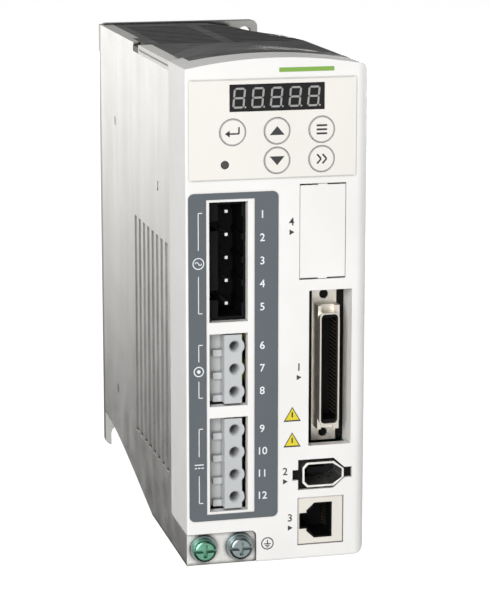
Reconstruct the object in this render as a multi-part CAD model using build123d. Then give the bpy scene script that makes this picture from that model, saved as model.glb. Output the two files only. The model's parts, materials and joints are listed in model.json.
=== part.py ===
"""Panel-mounted servo drive: cast heat-sink chassis, plastic housing and cover, connectors, keypad, boards.

Millimetres. x runs to the right, y into the panel and z up. While the pieces are made, y = 0 is the rear
mounting face and z = 0 the underside; save() then moves the origin to the middle of the rear face.
"""

import os

from build123d import *

# Overall sizes
WIDTH = 60.0
HEIGHT = 162.0
DEPTH = 150.0
ARCH_RISE = 3.0  # the crown of the cover's top edge above its corners

LEFT = -WIDTH / 2
RIGHT = WIDTH / 2
FRONT = -DEPTH
BACK = 0.0
ORIGIN_Z = HEIGHT / 2

# Walls and clearances
CAST_WALL = 3.0
PLATE = 3.0  # rear mounting plate
SKIN = 2.0  # moulded side, top and bottom walls
COVER_FACE = 3.3
COVER_DEPTH = 24.5
CORNER = 3.6  # rounding of the right edges
EDGE = 0.6  # rounding of the other moulded edges
OVERLAY = 0.25  # printed films stuck on the cover
GAP = 0.2  # between a fixed piece and the opening round it
SEAM = 0.1  # between mouldings that meet
SLIDE_GAP = 0.15  # between a sliding piece and its guide
BOARD = 1.6
SEAM_Y = FRONT + COVER_DEPTH
FACE_BACK = FRONT + COVER_FACE

# Chassis
FOOT_TOP = 10.6  # height of the earth terminal foot below the cover
FOOT_WIDTH = 22.9
FOOT_SETBACK = 0.8
FOOT_CORNER = 2.0
UNDERSIDE_FLAT = 57.0  # how far the flat underside reaches back from the front
UNDERSIDE_RISE = 14.1
PLATE_LOW = 0.6
PLATE_ABOVE = 0.5
PLATE_CORNER = 2.5
MOUNT_R = 2.75
MOUNT_INSET = 5.0  # from the sides
UPPER_MOUNT_DROP = 4.6  # from the top
LOWER_MOUNT_Z = 4.9
FLUTES = 8
FLUTE_PITCH = 7.4
FLUTE_WIDTH = 4.4
FLUTE_DEPTH = 1.1
FLUTE_LOW = 23.8
FLUTE_HIGH = 101.6
PEEP_Y = SEAM_Y + 18.0  # a small slot in the cast wall
PEEP_Z = 116.8
RAIL_WIDTH = 4.7  # the strip along the top left edge
RAIL_DROP = 3.0
RAIL_BACK = 50.0  # length of the plastic rail behind the seam
CLIP_LENGTH = 9.5  # gap between the plastic rail and the cast one, filled by the clip
CLIP_SINK = 1.0  # how far the clip lies below the rails
CLIP_DROP = 6.0
TAB_LENGTH = 20.0  # tab of the clip that lies on the inner side of both rails
TAB_WIDTH = 2.2
SIDE_SCREW_Y = -31.0
SIDE_SCREW_LOW = 30.0
SIDE_SCREW_HIGH = 130.0
SIDE_SCREW_R = 1.2
SIDE_HEAD_R = 1.75

# Top grille
ROOF_THICK = 2.4
ROOF_BEVEL = 1.2
ROOF_LAP = 9.0  # how far the roof reaches out over the cover
HOOD_LENGTH = 48.0  # the crown of the cover runs out over this length
VENT_WIDTH = 2.0
VENT_PITCH = 4.4
VENT_RIB = 4.0
VENT_TOOTH = 0.8
DRIVER_ROOM = 11.0  # width of the notch in front of the upper mounting hole
DRIVER_NOTCH = 39.0
WELL_DROP = 11.0
SHOULDER_LENGTH = 39.0  # the roof slopes down to the notch over this length
SHOULDER_DROP = 1.7

# Terminal column at the left
PITCH = 7.5
END_ROOM = 1.4
TERMINAL_LOW = 18.0
TERMINAL_SPACE = 3.8
TERMINAL_LEFT = LEFT + 7.6
TERMINAL_RIGHT = LEFT + 20.2
PIN_X = LEFT + 15.0
PIN = 1.0
HEADER_BACK = FRONT + 31.0
PLUG_STEP = 4.6  # how far the release side of a plug stands behind its wire side
PLUG_REAR = FRONT + 22.0
WIRE_HOLE_R = 1.45
TONGUE_DROP = 2.7
POLES = {"brake": 4, "motor": 3, "mains": 5}

# Keypad, measured down from the top
KEY_R = 4.2
KEY_HOLE_R = KEY_R + SLIDE_GAP
KEY_LIP_R = 4.6
KEY_STEM_R = 1.4
KEYS = {
    "key_enter": (-14.8, 20.1),
    "key_up": (-0.4, 20.1),
    "key_down": (-0.4, 29.5),
    "key_mode": (14.2, 20.1),
    "key_shift": (14.2, 29.5),
}
LENS_X = (-15.8, 15.1)
LENS_DROP = (13.7, 5.1)
LIGHT_X = -17.3
LIGHT_DROP = 30.4
LIGHT_R = 1.25
FILM_X = (LEFT + 1.1, RIGHT - 4.4)
FILM_DROP = (35.3, 3.5)
BAND_X = (LEFT + 0.8, LEFT + 30.1)
BAND_MARGIN = 2.9
WINDOW_X = (LEFT + 6.5, LEFT + 22.4)
WINDOW_MARGIN = 0.9
DISPLAY_BOARD_Y = FRONT + 9.0

# Signal connectors at the right
BLANK_X = (RIGHT - 22.8, RIGHT - 7.5)
BLANK_Z = (93.5, 124.6)
BLANK_THICK = 1.8
BLANK_END_GAP = 0.5
BLANK_LUG = 3.0  # small lugs centre the blank's ends in the opening
IO_OPENING_X = (RIGHT - 19.5, RIGHT - 5.2)
IO_OPENING_Z = (38.1, 89.8)
IO_X = RIGHT - 12.2
IO_Z = 63.2
IO_SCREW_SPACING = 46.6
IO_HOLE_R = 1.5
IO_FLANGE_Y = (FRONT + 9.0, FRONT + 10.0)
IO_RIM = FRONT + 0.8
IO_SHROUD_X = (IO_X - 3.4, IO_X + 3.2)
IO_SHROUD_HALF = 18.7
IO_SLOT = 2.15  # half width of the slot between the two rows of contacts
IO_PITCH = 1.27
IO_ROW = 25
IO_CONTACT = 0.3
ENCODER_OPENING_X = (RIGHT - 24.8, RIGHT - 4.7)
ENCODER_OPENING_Z = (23.3, 33.5)
ENCODER_RING_X = (ENCODER_OPENING_X[0] + 3.2, ENCODER_OPENING_X[1] - 2.9)
ENCODER_RING_Z = (ENCODER_OPENING_Z[0] + 0.9, ENCODER_OPENING_Z[1] - 0.9)
ENCODER_RING_Y = (FRONT - 0.6, FRONT + 10)
BUS_OPENING_X = (RIGHT - 23.0, RIGHT - 7.4)
BUS_OPENING_Z = (4.4, 20.6)
BUS_WALL = 0.5
CONNECTOR_REAR = FRONT + 19.0

# Boards
POWER_X = TERMINAL_RIGHT + 0.2
CONTROL_X = RIGHT - SKIN - 0.8 - BOARD
BOARD_FRONT = FRONT + 14.0
BOARD_REAR = BACK - 9.0
BOARD_LOW = UNDERSIDE_RISE + SKIN + 1.0
BOARD_HIGH = HEIGHT - 12.0
PART_SIDE = POWER_X + BOARD  # the face that the tall components stand on
PAD = 0.5  # thickness of the thermal pad
MODULE_Y = (SEAM_Y + 26, SEAM_Y + 64)
MODULE_Z = (61.0, 109.0)
CAPACITOR_R = 12.0

# Earth screws, M4
EARTH_X = {"left": LEFT + 5.5, "right": LEFT + 17.5}
EARTH_Z = 5.6
EARTH_R = 2.0
EARTH_HOLE_R = EARTH_R + 0.06
EARTH_HEAD_R = 3.8
EARTH_HEAD = 2.6
EARTH_LENGTH = 10.0
WASHER_R = 4.4
WASHER = 0.9


def block(x, y, z):
    """A box between two corners, each axis given as (low, high)."""
    size = (x[1] - x[0], y[1] - y[0], z[1] - z[0])
    return Pos(sum(x) / 2, sum(y) / 2, sum(z) / 2) * Box(*size)


def rod_x(radius, x, y, z):
    """A cylinder along x."""
    turned = Rot(0, 90, 0) * Cylinder(radius, x[1] - x[0])
    return Pos(sum(x) / 2, y, z) * turned


def rod_y(radius, x, y, z):
    """A cylinder along y."""
    turned = Rot(90, 0, 0) * Cylinder(radius, y[1] - y[0])
    return Pos(x, sum(y) / 2, z) * turned


def prism_x(points, x):
    """A closed outline of (y, z) points, extruded along x."""
    wire = Polyline([(x[0], y, z) for y, z in points], close=True)
    return extrude(make_face(wire), amount=x[1] - x[0], dir=(1, 0, 0))


def prism_y(points, y):
    """A closed outline of (x, z) points, extruded along y."""
    wire = Polyline([(x, y[0], z) for x, z in points], close=True)
    return extrude(make_face(wire), amount=y[1] - y[0], dir=(0, 1, 0))


def prism_z(points, z):
    """A closed outline of (x, y) points, extruded along z."""
    wire = Polyline([(x, y, z[0]) for x, y in points], close=True)
    return extrude(make_face(wire), amount=z[1] - z[0], dir=(0, 0, 1))


def plate_y(x, y, z, corner):
    """A plate facing y with rounded corners."""
    return fillet(block(x, y, z).edges().filter_by(Axis.Y), corner)


def grown(span, amount):
    """A (low, high) pair widened by an amount at each end."""
    return (span[0] - amount, span[1] + amount)


def from_top(drops):
    """A (low, high) height from two distances below the top."""
    return (HEIGHT - drops[0], HEIGHT - drops[1])


def terminal_opening(name):
    """The height span of one terminal opening in the stack, lowest first."""
    low = TERMINAL_LOW
    for other, poles in POLES.items():
        high = low + poles * PITCH + END_ROOM
        if other == name:
            return (low, high)
        low = high + TERMINAL_SPACE


def pole_heights(name):
    """The heights of the contacts in one terminal opening, lowest first."""
    middle = sum(terminal_opening(name)) / 2
    count = POLES[name]
    return [middle + PITCH * (i - (count - 1) / 2) for i in range(count)]


def body_outline(top_points, lift=0.0):
    """The chassis side outline: the curved underside, raised by lift, then the given points along the top."""
    bend_y = FRONT + UNDERSIDE_FLAT
    knee = Vector(0, bend_y, lift)
    mid = Vector(0, bend_y * 0.62, 7.0 + lift)
    low_rear = Vector(0, BACK, UNDERSIDE_RISE + lift)
    rise = Spline(knee, mid, low_rear, tangents=[(0, 1, 0.19), (0, 1, 0.02)])
    start = Vector(0, top_points[-1][0], lift)
    corners = [low_rear] + [Vector(0, y, z) for y, z in top_points] + [start, knee]
    return make_face(Curve() + [rise, Polyline(corners)])


def side_slab(x, top_points, lift=0.0):
    """The side outline extruded across a span of x."""
    face = Pos(x[0], 0, 0) * body_outline(top_points, lift)
    return extrude(face, amount=x[1] - x[0], dir=(1, 0, 0))


def clip_tab():
    """The span in x and y of the clip's tab."""
    front = SEAM_Y + RAIL_BACK + 1.5
    return (LEFT + RAIL_WIDTH - TAB_WIDTH, LEFT + RAIL_WIDTH), (front, front + TAB_LENGTH)


def heatsink_chassis():
    wall_top = HEIGHT - RAIL_DROP
    flange_front = SEAM_Y + RAIL_BACK + CLIP_LENGTH
    top = [
        (BACK, HEIGHT),
        (flange_front, HEIGHT),
        (flange_front, wall_top),
        (SEAM_Y, wall_top),
        (SEAM_Y, FOOT_TOP),
        (FRONT + FOOT_SETBACK, FOOT_TOP),
    ]
    wall = side_slab((LEFT, LEFT + CAST_WALL), top)
    flange_y = (flange_front, BACK - PLATE)
    flange = block((LEFT, LEFT + RAIL_WIDTH), flange_y, (HEIGHT - SKIN, HEIGHT))
    foot_x = (LEFT, LEFT + FOOT_WIDTH)
    foot = block(foot_x, (FRONT + FOOT_SETBACK, SEAM_Y), (0, FOOT_TOP))
    foot = fillet(foot.edges().filter_by(Axis.Y).sort_by(lambda e: e.center().X + e.center().Z)[-1], FOOT_CORNER)
    plate_z = (PLATE_LOW, HEIGHT + PLATE_ABOVE)
    plate = plate_y((LEFT, RIGHT), (BACK - PLATE, BACK), plate_z, PLATE_CORNER)
    tab_x, tab_y = clip_tab()
    tab_room = block((tab_x[0] - SEAM, tab_x[1] + 1), grown(tab_y, SEAM), (wall_top, HEIGHT + 1))
    body = wall + flange - tab_room + foot + plate
    body -= rod_y(MOUNT_R, RIGHT - MOUNT_INSET, (BACK - 2 * PLATE, BACK + 1), HEIGHT - UPPER_MOUNT_DROP)
    slot_x = LEFT + MOUNT_INSET
    body -= rod_y(MOUNT_R, slot_x, (BACK - 2 * PLATE, BACK + 1), LOWER_MOUNT_Z)
    mouth_x = (slot_x - MOUNT_R, slot_x + MOUNT_R)
    body -= block(mouth_x, (BACK - 2 * PLATE, BACK + 1), (-1, LOWER_MOUNT_Z))
    body -= flutes()
    body -= block((LEFT - 1, LEFT + 1.2), (PEEP_Y, PEEP_Y + 1.5), (PEEP_Z, PEEP_Z + 3.2))
    for height in (SIDE_SCREW_LOW, SIDE_SCREW_HIGH):
        body -= side_screw(height)
    for x in EARTH_X.values():
        depth = (FRONT, FRONT + FOOT_SETBACK + EARTH_LENGTH + 3)
        body -= rod_y(EARTH_HOLE_R, x, depth, EARTH_Z)
    return body


def flutes():
    """Vertical grooves cut in the outside of the cast wall."""
    radius = ((FLUTE_WIDTH / 2) ** 2 + FLUTE_DEPTH**2) / (2 * FLUTE_DEPTH)
    middle_z = (FLUTE_LOW + FLUTE_HIGH) / 2
    first = SEAM_Y + FLUTE_WIDTH / 2 + 3.4
    tool = Cylinder(radius, FLUTE_HIGH - FLUTE_LOW)
    x = LEFT + FLUTE_DEPTH - radius
    return [Pos(x, first + i * FLUTE_PITCH, middle_z) * tool for i in range(FLUTES)]


def side_screw(height):
    """A countersunk screw through the cast wall into a board post."""
    head = Rot(0, -90, 0) * Cone(SIDE_SCREW_R, SIDE_HEAD_R, 1.2)
    shank = rod_x(SIDE_SCREW_R, (LEFT + 1.2, LEFT + CAST_WALL + 5), SIDE_SCREW_Y, height)
    return Pos(LEFT + 0.6, SIDE_SCREW_Y, height) * head + shank


def side_screws():
    return Compound([side_screw(z) for z in (SIDE_SCREW_LOW, SIDE_SCREW_HIGH)])


def housing_shell():
    """The moulded right side, underside and top frame behind the cover."""
    rear = BACK - PLATE
    inner_left = LEFT + CAST_WALL
    roof_seat = HEIGHT - ROOF_THICK
    solid = side_slab((inner_left, RIGHT), [(rear, roof_seat), (SEAM_Y, roof_seat)])
    low_edges = [e for e in solid.edges() if e.center().X > RIGHT - 0.01 and e.center().Z < BOARD_LOW - 1]
    sills = [e for e in low_edges if abs(e.position_at(0).Y - e.position_at(1).Y) > 1]
    solid = fillet(sills, CORNER)
    open_top = [(BACK + 5, HEIGHT + 5), (SEAM_Y - 5, HEIGHT + 5)]
    cavity = side_slab((inner_left - 1, RIGHT - SKIN), open_top, lift=SKIN)
    solid -= cavity
    solid -= block((LEFT - 1, RIGHT + 1), (rear, BACK + 1), (-1, HEIGHT + 1))
    rail_y = (SEAM_Y, SEAM_Y + RAIL_BACK)
    rail = block((LEFT, LEFT + RAIL_WIDTH), rail_y, (HEIGHT - RAIL_DROP, HEIGHT))
    rail -= block((LEFT - 1, LEFT + 0.5), grown(rail_y, -1), (HEIGHT - 1.9, HEIGHT - 1.3))
    tab_x, tab_y = clip_tab()
    rail -= block((tab_x[0] - SEAM, tab_x[1] + 1), grown(tab_y, SEAM), (HEIGHT - RAIL_DROP, HEIGHT + 1))
    bar_z = (roof_seat - 2.2, roof_seat)
    front_bar = block((inner_left, RIGHT - 1), (SEAM_Y, SEAM_Y + 3), bar_z)
    rail_foot = block((inner_left, LEFT + RAIL_WIDTH), rail_y, (HEIGHT - RAIL_DROP - 2, HEIGHT - 1))
    well_y = (BACK - DRIVER_NOTCH - 1, rear)
    well = block((RIGHT - DRIVER_ROOM - 1, RIGHT - 1), well_y, (HEIGHT - WELL_DROP - 0.9, roof_seat))
    shell = solid + front_bar + rail + rail_foot + well
    return shell - driver_notch()


def driver_notch():
    """Room for the screwdriver in front of the upper mounting hole."""
    notch_x = (RIGHT - DRIVER_ROOM, RIGHT + 1)
    return block(notch_x, (BACK - DRIVER_NOTCH, BACK - PLATE), (HEIGHT - WELL_DROP, HEIGHT + 2))


def arch_edge(y, low, lift=0.0):
    """A face whose top edge is the crowned top of the cover, between the two sides."""
    ends = (Vector(LEFT, y, HEIGHT + lift), Vector(RIGHT, y, HEIGHT + lift))
    crown = ThreePointArc(ends[0], Vector(0, y, HEIGHT + ARCH_RISE + lift), ends[1])
    below = Polyline(ends[1], Vector(RIGHT, y, low), Vector(LEFT, y, low), ends[0])
    return make_face(Curve() + [crown, below])


def right_bevel(y):
    """What the bevel takes off the top right edge."""
    corner = [
        (RIGHT - ROOF_BEVEL - 1, HEIGHT + 1),
        (RIGHT + 1, HEIGHT + 1),
        (RIGHT + 1, HEIGHT - ROOF_BEVEL - 1),
    ]
    return prism_y(corner, y)


def roof_shoulder():
    """What the sloping shoulder takes off the roof beside the driver notch."""
    rear = BACK - DRIVER_NOTCH
    corner = Vector(RIGHT - DRIVER_ROOM, rear, HEIGHT)
    along = Vector(RIGHT, rear - SHOULDER_LENGTH, HEIGHT) - corner
    down = Vector(RIGHT, rear, HEIGHT - SHOULDER_DROP) - corner
    slope = Plane(origin=corner, x_dir=along, z_dir=along.cross(down))
    return slope * Box(2 * DEPTH, 2 * DEPTH, 20, align=(Align.CENTER, Align.CENTER, Align.MIN))


def top_grille():
    """The dark roof: it laps over the cover, then the crown runs out, with louvres behind."""
    left = LEFT + RAIL_WIDTH + SEAM
    front = SEAM_Y - ROOF_LAP
    rear = BACK - PLATE
    roof = block((left, RIGHT), (SEAM_Y, rear), (HEIGHT - ROOF_THICK, HEIGHT))
    hood = extrude(arch_edge(SEAM_Y, HEIGHT - 1), amount=HOOD_LENGTH, dir=(0, HOOD_LENGTH, -ARCH_RISE))
    roof += hood & block((left, RIGHT), (SEAM_Y, rear), (HEIGHT - 1, HEIGHT + ARCH_RISE + 1))
    lap = extrude(arch_edge(front, HEIGHT - ROOF_THICK), amount=ROOF_LAP, dir=(0, 1, 0))
    roof += lap & block((left, RIGHT), (front, SEAM_Y), (HEIGHT - ROOF_THICK, HEIGHT + ARCH_RISE + 1))
    middle = (left + RIGHT) / 2
    first = SEAM_Y + HOOD_LENGTH + VENT_PITCH
    notch = BACK - DRIVER_NOTCH - VENT_PITCH
    count = int((rear - VENT_PITCH - first) / VENT_PITCH)
    for i in range(count):
        y = (first + i * VENT_PITCH, first + i * VENT_PITCH + VENT_WIDTH)
        right = RIGHT - 3 if y[1] < notch else RIGHT - DRIVER_ROOM - 3
        for side in ((left + 3, middle - VENT_RIB / 2), (middle + VENT_RIB / 2, right)):
            roof -= block(side, y, (HEIGHT - 12, HEIGHT + 2))
        roof -= block((right - 1, RIGHT + 1), y, (HEIGHT - VENT_TOOTH, HEIGHT + 2))
    roof -= right_bevel((front - 1, BACK))
    return roof - roof_shoulder() - driver_notch()


def rail_clip():
    """The snap clip that locks the top rail to the cast wall, with a tab beside the roof."""
    start = SEAM_Y + RAIL_BACK + SEAM
    y = (start, start + CLIP_LENGTH - 2 * SEAM)
    tab_x, tab_y = clip_tab()
    seat = HEIGHT - RAIL_DROP
    bridge = block((LEFT, LEFT + RAIL_WIDTH), y, (seat, HEIGHT - CLIP_SINK))
    tab = block(tab_x, tab_y, (seat, HEIGHT + SEAM))
    hook = block((LEFT + CAST_WALL, LEFT + RAIL_WIDTH), y, (HEIGHT - CLIP_DROP, seat))
    return bridge + tab + hook


def front_cover():
    outer = extrude(arch_edge(FRONT, 0), amount=COVER_DEPTH, dir=(0, 1, 0))
    outer -= right_bevel((FRONT - 1, SEAM_Y + 1))
    upright = outer.edges().filter_by(Axis.Z).group_by(Axis.Y)[0].sort_by(Axis.X)[-1]
    sill = outer.edges().filter_by(Axis.Y).sort_by(Axis.X)[-2:].sort_by(Axis.Z)[0]
    outer = fillet([upright, sill], CORNER)
    outer = fillet(outer.edges().filter_by(Axis.Z).group_by(Axis.Y)[0].sort_by(Axis.X)[0], EDGE)
    inner = extrude(arch_edge(FACE_BACK, SKIN, lift=-SKIN), amount=COVER_DEPTH, dir=(0, 1, 0))
    inner &= block((LEFT + SKIN, RIGHT - SKIN), (FRONT, SEAM_Y + 1), (0, HEIGHT + 9))
    cover = outer - inner
    lap_y = (SEAM_Y - ROOF_LAP - SEAM, SEAM_Y + 1)
    cover -= block((LEFT + RAIL_WIDTH, RIGHT + 1), lap_y, (HEIGHT - ROOF_THICK - SEAM, HEIGHT + 9))
    foot_x = (LEFT - 9, LEFT + FOOT_WIDTH + GAP)
    cover -= plate_y(foot_x, (FRONT - 1, SEAM_Y + 1), (-9, FOOT_TOP + SEAM), FOOT_CORNER)
    cover += [rod_y(2.6, x, (FACE_BACK, DISPLAY_BOARD_Y), z) for x, z in display_post_places()]
    io_wall_x = (IO_OPENING_X[1], IO_OPENING_X[1] + 1.2)
    cover += block(io_wall_x, (FACE_BACK, IO_FLANGE_Y[1]), grown(IO_OPENING_Z, 1.2))
    through = (FRONT - 1, FACE_BACK + 1)
    terminals = (TERMINAL_LEFT, TERMINAL_RIGHT)
    cover -= [block(terminals, through, terminal_opening(name)) for name in POLES]
    cover -= block(LENS_X, through, from_top(LENS_DROP))
    cover -= [rod_y(KEY_HOLE_R, x, through, HEIGHT - drop) for x, drop in KEYS.values()]
    cover -= rod_y(LIGHT_R + GAP / 2, LIGHT_X, through, HEIGHT - LIGHT_DROP)
    cover -= block(BLANK_X, through, BLANK_Z)
    cover -= plate_y(IO_OPENING_X, through, IO_OPENING_Z, 0.3)
    cover -= encoder_outline(through, 0.0)
    cover -= block(BUS_OPENING_X, through, BUS_OPENING_Z)
    return cover


def display_post_places():
    """Where the display board is screwed to the cover."""
    return [(x, HEIGHT - drop) for x in (LEFT + 6.5, RIGHT - 8.5) for drop in (9.5, 32.5)]


def keypad_film():
    y = (FRONT - OVERLAY, FRONT)
    film = plate_y(FILM_X, y, from_top(FILM_DROP), 0.8)
    through = grown(y, 1)
    film -= block(LENS_X, through, from_top(LENS_DROP))
    film -= [rod_y(KEY_HOLE_R, x, through, HEIGHT - drop) for x, drop in KEYS.values()]
    return film - rod_y(LIGHT_R + GAP / 2, LIGHT_X, through, HEIGHT - LIGHT_DROP)


def terminal_film():
    """The slate film round the terminal column."""
    y = (FRONT - OVERLAY, FRONT)
    low = terminal_opening("brake")[0]
    high = terminal_opening("mains")[1]
    film = plate_y(BAND_X, y, grown((low, high), BAND_MARGIN), 1.8)
    return film - block(WINDOW_X, grown(y, 1), grown((low, high), WINDOW_MARGIN))


def display_lens():
    lens_y = (FRONT - OVERLAY, FRONT + 2.2)
    return block(grown(LENS_X, -SEAM), lens_y, grown(from_top(LENS_DROP), -SEAM))


def display_module():
    y = (FRONT + 2.3, DISPLAY_BOARD_Y)
    return block(grown(LENS_X, -1), y, grown(from_top(LENS_DROP), -0.8))


def display_board():
    x = (LEFT + 3, RIGHT - 5)
    board = block(x, (DISPLAY_BOARD_Y, DISPLAY_BOARD_Y + BOARD), (HEIGHT - 36, HEIGHT - 4))
    return board - display_screws()


def display_screws():
    shank_y = (DISPLAY_BOARD_Y, DISPLAY_BOARD_Y + BOARD)
    head_y = (DISPLAY_BOARD_Y + BOARD, DISPLAY_BOARD_Y + BOARD + 1.4)
    screws = [rod_y(1.2, x, shank_y, z) + rod_y(2.2, x, head_y, z) for x, z in display_post_places()]
    return Compound(screws)


def key(x, drop):
    """One key: cap, retaining lip behind the cover and stem that works the switch."""
    z = HEIGHT - drop
    cap = rod_y(KEY_R, x, (FRONT - OVERLAY - 0.1, FACE_BACK + GAP), z)
    lip = rod_y(KEY_LIP_R, x, (FACE_BACK + GAP, FACE_BACK + GAP + 0.6), z)
    stem = rod_y(KEY_STEM_R, x, (FACE_BACK + 0.8, FACE_BACK + 2.1), z)
    return cap + lip + stem


def tact_switches():
    switches = []
    for x, drop in KEYS.values():
        z = HEIGHT - drop
        base = block((x - 3, x + 3), (FACE_BACK + 1.7, DISPLAY_BOARD_Y), (z - 3, z + 3))
        switches.append(base - rod_y(KEY_STEM_R + SLIDE_GAP, x, (FACE_BACK + 1, FACE_BACK + 2.9), z))
    return Compound(switches)


def status_light():
    return rod_y(LIGHT_R, LIGHT_X, (FRONT - OVERLAY, DISPLAY_BOARD_Y), HEIGHT - LIGHT_DROP)


def display_ribbon():
    start = DISPLAY_BOARD_Y + BOARD
    x = CONTROL_X - 6
    turn = start + 11
    outline = [(x, start), (x + 0.8, start), (x + 0.8, turn - 0.8)]
    outline += [(CONTROL_X, turn - 0.8), (CONTROL_X, turn), (x, turn)]
    return prism_z(outline, (HEIGHT - 28, HEIGHT - 16))


def contact_pin(z, tip_y, bend_y):
    """A square pin that turns through a right angle into the power board."""
    half = PIN / 2
    run = block((PIN_X - half, PIN_X + half), (tip_y, bend_y), (z - half, z + half))
    tail = block((PIN_X - half, PART_SIDE + 1.2), (bend_y - PIN, bend_y), (z - half, z + half))
    return run + tail


def header_pins(name):
    tip = FRONT + (8.0 if name == "mains" else PLUG_REAR - FRONT - 8.0)
    bend = HEADER_BACK - 4
    return Compound([contact_pin(z, tip, bend) for z in pole_heights(name)])


def mains_header():
    """The open pin header that takes the supply plug, with two keying slots in its left shoulder."""
    low, high = grown(terminal_opening("mains"), -GAP)
    x = (TERMINAL_LEFT + GAP, TERMINAL_RIGHT - GAP)
    front = FRONT + 3.2
    header = block(x, (front, HEADER_BACK), (low, high))
    pocket_x = (PIN_X - 3.8, x[1] - 1.1)
    pocket = block(pocket_x, (front - 1, front + 15), (low + 1, high - 1))
    header -= pocket
    for z in pole_heights("mains")[:-1]:
        bay = block((x[1] - 1.2, x[1] - 0.5), (front - 1, front + 15), (z + 1, z + PITCH - 1))
        header -= bay
    heights = pole_heights("mains")
    for z in ((heights[0] + heights[1]) / 2, (heights[-1] + heights[-2]) / 2):
        header -= block((x[0] + 0.7, PIN_X - 3), (front - 1, front + 9), (z - 1.6, z + 1.6))
    return header - header_pins("mains")


def plug_header(name):
    """The shrouded board header behind a terminal plug."""
    low, high = grown(terminal_opening(name), -GAP)
    x = (TERMINAL_LEFT + GAP, TERMINAL_RIGHT - GAP)
    header = block(x, (PLUG_REAR - 9, HEADER_BACK), (low, high))
    header -= block(grown(x, -1.2), (PLUG_REAR - 10, PLUG_REAR + SLIDE_GAP), (low + 1.2, high - 1.2))
    return header - header_pins(name)


def terminal_plug(name):
    """A pull-out spring terminal plug: wire side at the right, recessed release side at the left."""
    low, high = grown(terminal_opening(name), -0.6)
    left = TERMINAL_LEFT + 0.4
    step = TERMINAL_LEFT + 5.0
    right = TERMINAL_RIGHT - 1.8
    wire_front = FRONT + 0.6
    release_front = wire_front + PLUG_STEP
    shroud = PLUG_REAR - 9.4
    plug = block((left, TERMINAL_RIGHT - 0.6), (FACE_BACK + 4, shroud), (low, high))
    plug += block((left, step + 1), (release_front, shroud), (low, high))
    plug += block((step, right), (wire_front, shroud), (low, high))
    inner = 1.2 + GAP + SLIDE_GAP
    tail_x = (TERMINAL_LEFT + inner, TERMINAL_RIGHT - inner)
    opening = terminal_opening(name)
    plug += block(tail_x, (shroud, PLUG_REAR), grown(opening, -inner))
    hole_x = right - 2.3
    for z in pole_heights(name):
        plug += rod_y(2.75, right - 1.9, (wire_front, FACE_BACK + 5), z)
    for z in pole_heights(name):
        plug -= rod_y(WIRE_HOLE_R, hole_x, (wire_front - 1, wire_front + 9), z)
        plug -= Pos(hole_x, wire_front + 0.4, z) * Rot(90, 0, 0) * Cone(WIRE_HOLE_R, WIRE_HOLE_R + 0.5, 0.8)
        pin_room = block(grown((PIN_X, PIN_X), 1), (PLUG_REAR - 11, PLUG_REAR + 1), grown((z, z), 1))
        plug -= pin_room
    for z in release_heights(name):
        plug += release_bump(z, left, step, release_front)
    return plug - plug_clamps(name)


def release_heights(name):
    """The heights of the release tongues, a little below each contact."""
    return [z - TONGUE_DROP for z in pole_heights(name)]


def release_bump(z, left, step, front):
    """A raised tongue on the release side of a plug."""
    return block((left + 1.5, step), (front - 1.5, front + 1), (z - 1.1, z + 1.1))


def plug_clamps(name):
    """The spring clamps inside a plug, one per pole."""
    clamps = []
    x = (PIN_X - 2.6, PIN_X - 1.2)
    y = (FRONT + 10, PLUG_REAR - 9.6)
    for z in pole_heights(name):
        clamps.append(block(x, y, (z - 2, z + 2)))
    return Compound(clamps)


def blank_cover():
    """The pull-out blank over the spare port."""
    x = grown(BLANK_X, -SLIDE_GAP)
    z = grown(BLANK_Z, -BLANK_END_GAP)
    middle = sum(BLANK_X) / 2
    y = (FRONT + 0.1, FRONT + 0.1 + BLANK_THICK)
    plate = block(x, y, z)
    plate += block(grown((middle, middle), BLANK_LUG / 2), y, grown(BLANK_Z, -SLIDE_GAP))
    rib_y = (y[1], FACE_BACK + 2)
    for side in ((z[0] + 1.5, z[0] + 2.7), (z[1] - 2.7, z[1] - 1.5)):
        plate += block(grown(x, -3.5), rib_y, side)
    return plate


def spare_port():
    """The connector behind the blank."""
    x = (BLANK_X[0] + 3, CONTROL_X)
    z = grown(BLANK_Z, -7)
    port = block(x, (FACE_BACK + 4, CONNECTOR_REAR), z)
    return port - block((x[0] + 1.2, x[0] + 7), (FACE_BACK + 3, FACE_BACK + 9), grown(z, -1.2))


def io_shell():
    """Steel flange, shroud and latch blocks of the input and output connector."""
    half = IO_SCREW_SPACING / 2 + 2.6
    flange_x = (IO_X - 3.95, IO_X + 4.3)
    shell = block(flange_x, IO_FLANGE_Y, (IO_Z - half, IO_Z + half))
    shroud_z = (IO_Z - IO_SHROUD_HALF, IO_Z + IO_SHROUD_HALF)
    latch_y = (IO_RIM + 2.4, IO_FLANGE_Y[0])
    for end in shroud_z:
        shell += block(grown(flange_x, -0.5), latch_y, grown((end, end), 2.0))
    shell -= block((IO_X - 2.2, IO_X + 2.0), (IO_RIM, IO_RIM + 4.4), grown(shroud_z, 3.0))
    shell += plate_y(IO_SHROUD_X, (IO_RIM, IO_FLANGE_Y[1]), shroud_z, 1.8)
    hollow_y = (FRONT - 1, IO_FLANGE_Y[1] + 1)
    shell -= plate_y(grown(IO_SHROUD_X, -0.5), hollow_y, grown(shroud_z, -0.5), 1.3)
    for z in (IO_Z - IO_SCREW_SPACING / 2, IO_Z + IO_SCREW_SPACING / 2):
        shell -= rod_y(IO_HOLE_R, IO_X, hollow_y, z)
    return shell


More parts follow.
